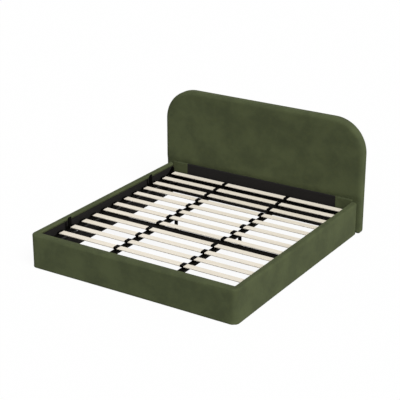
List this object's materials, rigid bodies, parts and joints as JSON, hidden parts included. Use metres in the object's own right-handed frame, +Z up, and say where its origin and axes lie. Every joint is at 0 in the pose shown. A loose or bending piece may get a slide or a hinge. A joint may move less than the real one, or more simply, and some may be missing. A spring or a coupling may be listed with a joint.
{
  "type": "gas lift storage bed",
  "caption": "Low upholstered bed with a tall round-cornered headboard and a steel slatted frame that swings up on gas struts over open floor storage.",
  "frame": {"origin": "on the floor, at the middle of the whole bed's footprint", "axes": "+X across the bed, +Y from the foot end to the headboard, +Z up"},
  "size_m": [2.072, 2.179, 1.049],
  "materials": {
    "olive_velvet": "short-pile velvet over foam",
    "lining_cloth": "spun non-woven cloth, matte",
    "back_cloth": "thin non-woven dust cloth, matte",
    "plywood": "plain sanded board",
    "pine": "planed softwood",
    "stained_pine": "softwood batten in black stain",
    "birch_slat": "bent laminated layers, satin",
    "cap_plastic": "moulded, fine grain",
    "black_steel": "black powder coat, satin",
    "zinc_steel": "bright zinc plate",
    "chromed_rod": "hard chrome, polished",
    "washer_plastic": "nylon, satin",
    "rubber_foot": "moulded rubber, matte",
    "strap_webbing": "woven polyester webbing"
  },
  "bodies": {
    "base": {"headboard_upholstery": "olive_velvet", "side_upholstery_left": "olive_velvet", "side_upholstery_right": "olive_velvet", "foot_upholstery": "olive_velvet", "head_corner_pads": "olive_velvet", "side_board_left": "plywood", "side_board_right": "plywood", "foot_board": "plywood", "head_end_board": "plywood", "side_lining_left": "lining_cloth", "side_lining_right": "lining_cloth", "foot_lining": "lining_cloth", "head_lining": "lining_cloth", "headboard_plywood": "plywood", "headboard_frame": "pine", "headboard_back_cloth": "back_cloth", "floor_glides": "washer_plastic", "ledges": "stained_pine", "rest_pads": "rubber_foot", "corner_brackets": "black_steel", "panel_bolts": "black_steel", "wood_screws": "zinc_steel", "hinge_plate_left": "black_steel", "hinge_plate_right": "black_steel", "hinge_pins": "black_steel", "hinge_washers": "washer_plastic", "strut_studs": "zinc_steel"},
    "lift_frame": {"side_rail_left": "black_steel", "side_rail_right": "black_steel", "foot_rail": "black_steel", "head_rail": "black_steel", "foot_cross_tube": "black_steel", "head_cross_tube": "black_steel", "cross_tube_bolts": "black_steel", "centre_rail_left": "black_steel", "centre_rail_right": "black_steel", "support_legs": "black_steel", "leg_feet": "rubber_foot", "middle_slats": "birch_slat", "side_slats_left": "birch_slat", "side_slats_right": "birch_slat", "outer_slat_caps_left": "cap_plastic", "outer_slat_caps_right": "cap_plastic", "double_slat_caps_left": "cap_plastic", "double_slat_caps_right": "cap_plastic", "mattress_stops": "black_steel", "hinge_arm_left": "black_steel", "hinge_arm_right": "black_steel", "strut_bracket_left": "black_steel", "strut_bracket_right": "black_steel", "pull_strap": "strap_webbing"},
    "strut_barrel_left": {"strut_cylinder_left": "black_steel", "strut_base_eye_left": "black_steel"},
    "strut_plunger_left": {"strut_rod_left": "chromed_rod", "strut_rod_eye_left": "black_steel"},
    "strut_barrel_right": {"strut_cylinder_right": "black_steel", "strut_base_eye_right": "black_steel"},
    "strut_plunger_right": {"strut_rod_right": "chromed_rod", "strut_rod_eye_right": "black_steel"}
  },
  "joints": [
    {"name": "lift_hinge", "type": "hinge", "parent": "base", "child": "lift_frame", "pos_m": [0, 0.9695, 0.248], "axis": [-1, 0, 0], "range_deg": [0, 38]},
    {"name": "strut_tilt_left", "type": "hinge", "parent": "base", "child": "strut_barrel_left", "pos_m": [-0.9, 0.7665, 0.06], "axis": [-1, 0, 0], "range_deg": [0, 37.55]},
    {"name": "strut_slide_left", "type": "slide", "parent": "strut_barrel_left", "child": "strut_plunger_left", "axis": [0, -0.8719, 0.4897], "range_m": [0, 0.18015]},
    {"name": "strut_tilt_right", "type": "hinge", "parent": "base", "child": "strut_barrel_right", "pos_m": [0.9, 0.7665, 0.06], "axis": [-1, 0, 0], "range_deg": [0, 37.55]},
    {"name": "strut_slide_right", "type": "slide", "parent": "strut_barrel_right", "child": "strut_plunger_right", "axis": [0, -0.8719, 0.4897], "range_m": [0, 0.18015]}
  ],
  "couplings": [
    {"joint": "strut_tilt_left", "follows": "lift_hinge", "ratio": 0.98813},
    {"joint": "strut_slide_left", "follows": "lift_hinge", "m_per_rad": 0.27161},
    {"joint": "strut_tilt_right", "follows": "lift_hinge", "ratio": 0.98813},
    {"joint": "strut_slide_right", "follows": "lift_hinge", "m_per_rad": 0.27161}
  ]
}
